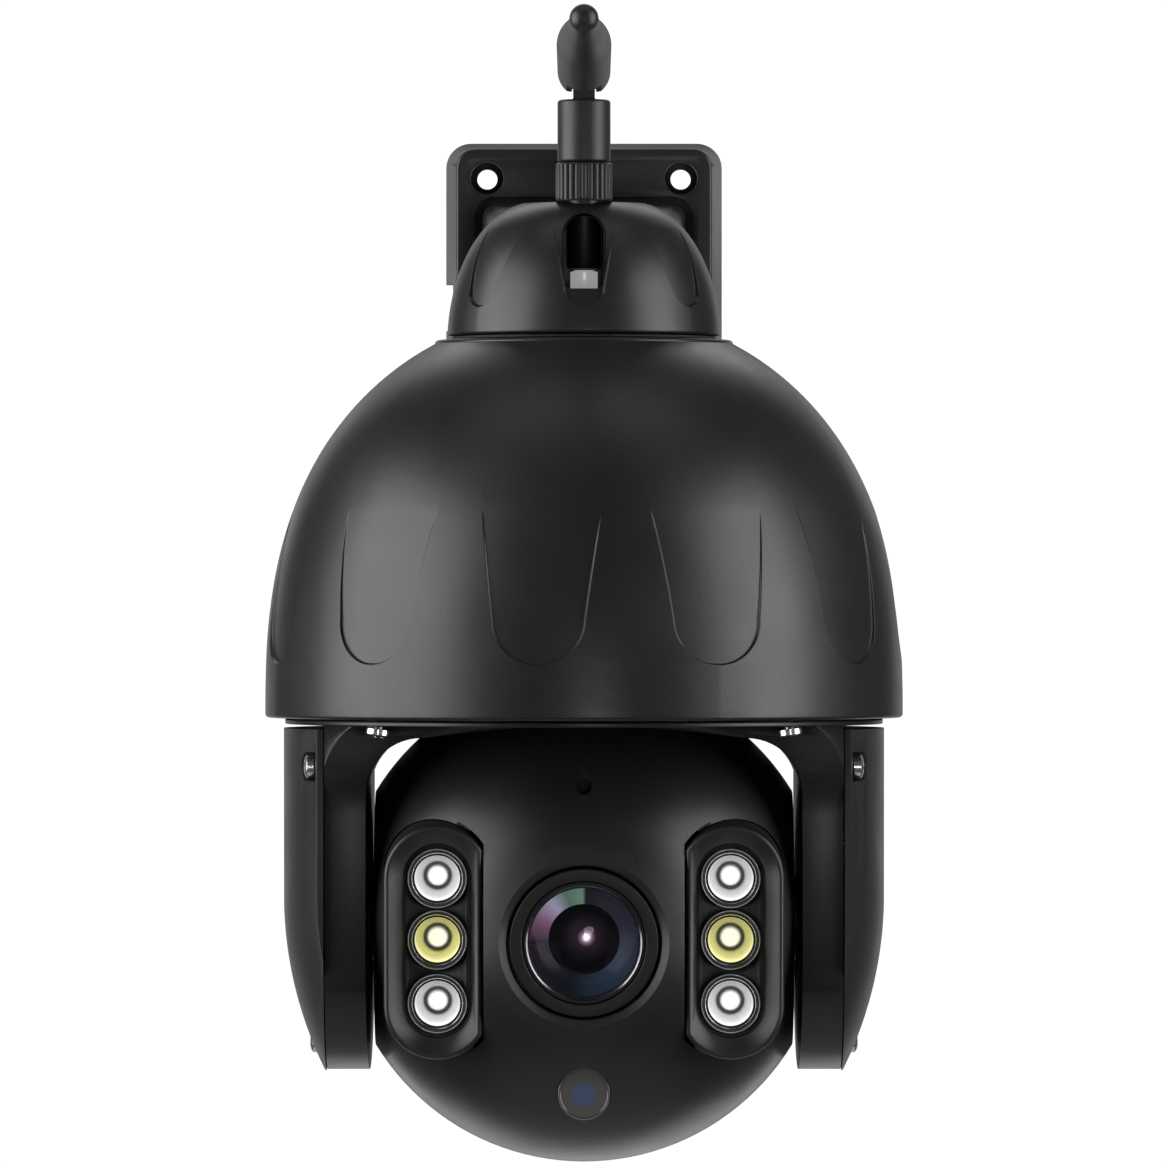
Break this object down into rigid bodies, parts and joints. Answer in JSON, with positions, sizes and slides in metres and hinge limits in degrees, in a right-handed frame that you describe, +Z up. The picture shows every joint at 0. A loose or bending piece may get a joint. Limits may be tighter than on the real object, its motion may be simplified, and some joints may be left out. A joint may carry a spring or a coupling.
{
  "type": "security camera",
  "caption": "Pan and tilt outdoor security camera: wall bracket, round dome, U fork, ball head with lens and lamp pods, and a folding whip antenna.",
  "frame": {"origin": "middle of the wall base's back face, where it meets the wall", "axes": "+Y into the wall, -Y out towards the viewer, +Z up, +X to the viewer's right"},
  "size_m": [0.1594, 0.3, 0.2803],
  "materials": {
    "cast_paint": "satin black powder coat on die-cast metal",
    "cover_plastic": "satin black moulded plastic",
    "lens_housing": "matte black",
    "antenna_plastic": "satin black, finely textured",
    "bright_steel": "bright zinc plated",
    "machined_steel": "machined, unpainted",
    "jack_nickel": "nickel plated",
    "pinion_brass": "machined",
    "gear_nylon": "natural white nylon",
    "circuit_board": "green solder mask",
    "switch_black": "matte black",
    "gasket_rubber": "matte",
    "lens_glass": "coated, polished",
    "led_clear": "clear moulded acrylic",
    "led_warm": "clear acrylic over a pale yellow phosphor",
    "dark_window": "dark glossy filter"
  },
  "bodies": {
    "bracket": {"wall_base": "cast_paint", "bracket_arm": "cast_paint", "arm_screw_1": "bright_steel", "arm_screw_2": "bright_steel", "antenna_jack": "jack_nickel", "neck_gasket": "gasket_rubber", "dome_shell": "cast_paint", "chassis_plate": "machined_steel", "pan_bearing": "machined_steel", "pan_motor": "machined_steel", "main_board": "circuit_board", "board_standoff_1": "pinion_brass", "board_standoff_2": "pinion_brass"},
    "pan_pinion_group": {"pan_pinion": "pinion_brass"},
    "pan_group": {"yoke": "cast_paint", "pan_gear": "gear_nylon", "cover_left": "cover_plastic", "cover_right": "cover_plastic", "cover_screw_1": "bright_steel", "cover_screw_2": "bright_steel", "cover_screw_3": "bright_steel", "cover_screw_4": "bright_steel", "cover_screw_5": "bright_steel", "cover_screw_6": "bright_steel", "yoke_screw_1": "bright_steel", "yoke_screw_2": "bright_steel", "yoke_screw_3": "bright_steel", "yoke_screw_4": "bright_steel", "tilt_bearing_left": "machined_steel", "tilt_bearing_right": "machined_steel", "tilt_motor": "machined_steel", "tilt_limit_switch": "switch_black"},
    "tilt_pinion_group": {"tilt_pinion": "pinion_brass"},
    "camera_head": {"head_front_shell": "cast_paint", "head_rear_shell": "cast_paint", "tilt_shaft_left": "machined_steel", "tilt_shaft_right": "machined_steel", "tilt_gear": "gear_nylon", "lens_barrel": "lens_housing", "lens_retaining_ring": "lens_housing", "lens_front_glass": "lens_glass", "image_board": "circuit_board", "led_pod_left": "cover_plastic", "led_pod_right": "cover_plastic", "led_board_left": "circuit_board", "led_board_right": "circuit_board", "led_lens_left_1": "led_clear", "led_lens_left_2": "led_warm", "led_lens_left_3": "led_clear", "led_lens_right_1": "led_clear", "led_lens_right_2": "led_warm", "led_lens_right_3": "led_clear", "light_sensor_window": "dark_window", "microphone": "machined_steel", "head_frame": "machined_steel"},
    "zoom_lens": {"zoom_group": "lens_housing"},
    "antenna_collar": {"antenna_nut": "antenna_plastic"},
    "antenna_swivel_base": {"antenna_base": "antenna_plastic"},
    "antenna_blade": {"antenna_whip": "antenna_plastic", "antenna_pin": "bright_steel"}
  },
  "joints": [
    {"name": "pan", "type": "hinge", "parent": "bracket", "child": "pan_group", "pos_m": [0, -0.115, -0.0785], "axis": [0, 0, 1], "range_deg": [-175, 175]},
    {"name": "pan_pinion_spin", "type": "hinge", "parent": "bracket", "child": "pan_pinion_group", "pos_m": [0.01885, -0.08235, -0.0865], "axis": [0, 0, 1], "range_deg": [-702, 702]},
    {"name": "tilt", "type": "hinge", "parent": "pan_group", "child": "camera_head", "pos_m": [0, -0.115, -0.1554], "axis": [1, 0, 0], "range_deg": [-9.5, 85.5]},
    {"name": "tilt_pinion_spin", "type": "hinge", "parent": "pan_group", "child": "tilt_pinion_group", "pos_m": [0.0616, -0.115, -0.136], "axis": [1, 0, 0], "range_deg": [-258, 30]},
    {"name": "zoom", "type": "slide", "parent": "camera_head", "child": "zoom_lens", "axis": [0, -0.9969, -0.0785], "range_m": [-0.006, 0.001]},
    {"name": "antenna_nut_spin", "type": "hinge", "parent": "bracket", "child": "antenna_collar", "pos_m": [0, -0.128, 0.028], "axis": [0, 0, 1], "continuous": true},
    {"name": "antenna_swivel", "type": "hinge", "parent": "bracket", "child": "antenna_swivel_base", "pos_m": [0, -0.128, 0.042], "axis": [0, 0, 1], "continuous": true},
    {"name": "antenna_fold", "type": "hinge", "parent": "antenna_swivel_base", "child": "antenna_blade", "pos_m": [0, -0.128, 0.0556], "axis": [1, 0, 0], "range_deg": [-89, 1]}
  ],
  "couplings": [
    {"joint": "pan_pinion_spin", "follows": "pan", "ratio": -4},
    {"joint": "tilt_pinion_spin", "follows": "tilt", "ratio": -3}
  ]
}
